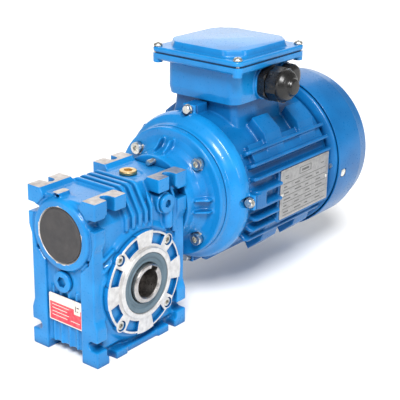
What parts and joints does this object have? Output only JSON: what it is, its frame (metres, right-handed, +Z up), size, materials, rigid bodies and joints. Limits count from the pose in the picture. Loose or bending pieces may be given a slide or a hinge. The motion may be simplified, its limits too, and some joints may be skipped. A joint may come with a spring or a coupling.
{
  "type": "worm gearmotor",
  "caption": "Square-bodied worm gearbox with a hollow keyed output shaft, an input flange and a finned electric motor with a terminal box.",
  "frame": {"origin": "on the foot plane, straight under the middle of the hollow output bore", "axes": "+X along the worm and motor axis towards the motor's fan, -Y out of the side with the bolted cover along the output axis, +Z up"},
  "size_m": [0.3643, 0.158, 0.2375],
  "materials": {
    "enamel": "glossy blue enamel over castings",
    "bare_aluminium": "machined",
    "steel": "turned and ground",
    "zinc": "zinc plated",
    "brass": "turned",
    "bronze": "cast bronze, cut teeth",
    "copper": "varnished wire",
    "lamination": "stacked steel sheet",
    "rubber": "matt dark grey",
    "seal_rubber": "slate blue-grey",
    "black_plastic": "glossy moulded",
    "board_plastic": "moulded resin",
    "red_plate": "printed plate",
    "grey_plate": "etched plate"
  },
  "bodies": {
    "gearmotor": {"gear_housing": "enamel", "output_cover": "bare_aluminium", "cover_screw_1": "zinc", "cover_screw_2": "zinc", "cover_screw_3": "zinc", "cover_screw_4": "zinc", "output_seal_near": "seal_rubber", "output_seal_far": "seal_rubber", "output_bearing_near": "steel", "output_bearing_far": "steel", "worm_bearing_front": "steel", "worm_bearing_rear": "steel", "worm_circlip": "steel", "worm_cap": "rubber", "input_seal": "seal_rubber", "front_plug": "enamel", "filler_plug": "brass", "side_plug": "enamel", "gear_nameplate": "red_plate", "input_flange": "enamel", "flange_screw_1": "zinc", "flange_screw_2": "zinc", "flange_screw_3": "zinc", "flange_screw_4": "zinc", "motor_bolt_1": "zinc", "motor_bolt_2": "zinc", "motor_bolt_3": "zinc", "motor_bolt_4": "zinc", "drive_end_shield": "enamel", "shield_bolt_1": "zinc", "shield_bolt_2": "zinc", "shield_bolt_3": "zinc", "shield_bolt_4": "zinc", "motor_frame": "enamel", "stator_core": "lamination", "stator_winding": "copper", "motor_bearing_drive": "steel", "motor_bearing_fan": "steel", "fan_end_shield": "enamel", "fan_cover": "enamel", "motor_nameplate": "grey_plate", "terminal_box": "enamel", "lid_gasket": "rubber", "terminal_lid": "enamel", "terminal_board": "board_plastic", "lid_screw_1": "zinc", "lid_screw_2": "zinc", "lid_screw_3": "zinc", "lid_screw_4": "zinc", "cable_gland": "black_plastic", "gland_nut": "black_plastic", "blanking_plug": "black_plastic"},
    "rotor": {"motor_shaft": "steel", "rotor_core": "bare_aluminium", "fan": "black_plastic", "shaft_key": "steel", "worm_shaft": "steel"},
    "output": {"output_shaft": "steel", "wheel_rim": "bronze"}
  },
  "joints": [
    {"name": "rotor_spin", "type": "hinge", "parent": "gearmotor", "child": "rotor", "pos_m": [0, 0, 0.11], "axis": [1, 0, 0], "continuous": true},
    {"name": "output_spin", "type": "hinge", "parent": "gearmotor", "child": "output", "pos_m": [0, 0, 0.06], "axis": [0, -1, 0], "continuous": true}
  ],
  "couplings": [
    {"joint": "output_spin", "follows": "rotor_spin", "ratio": 0.033333}
  ]
}
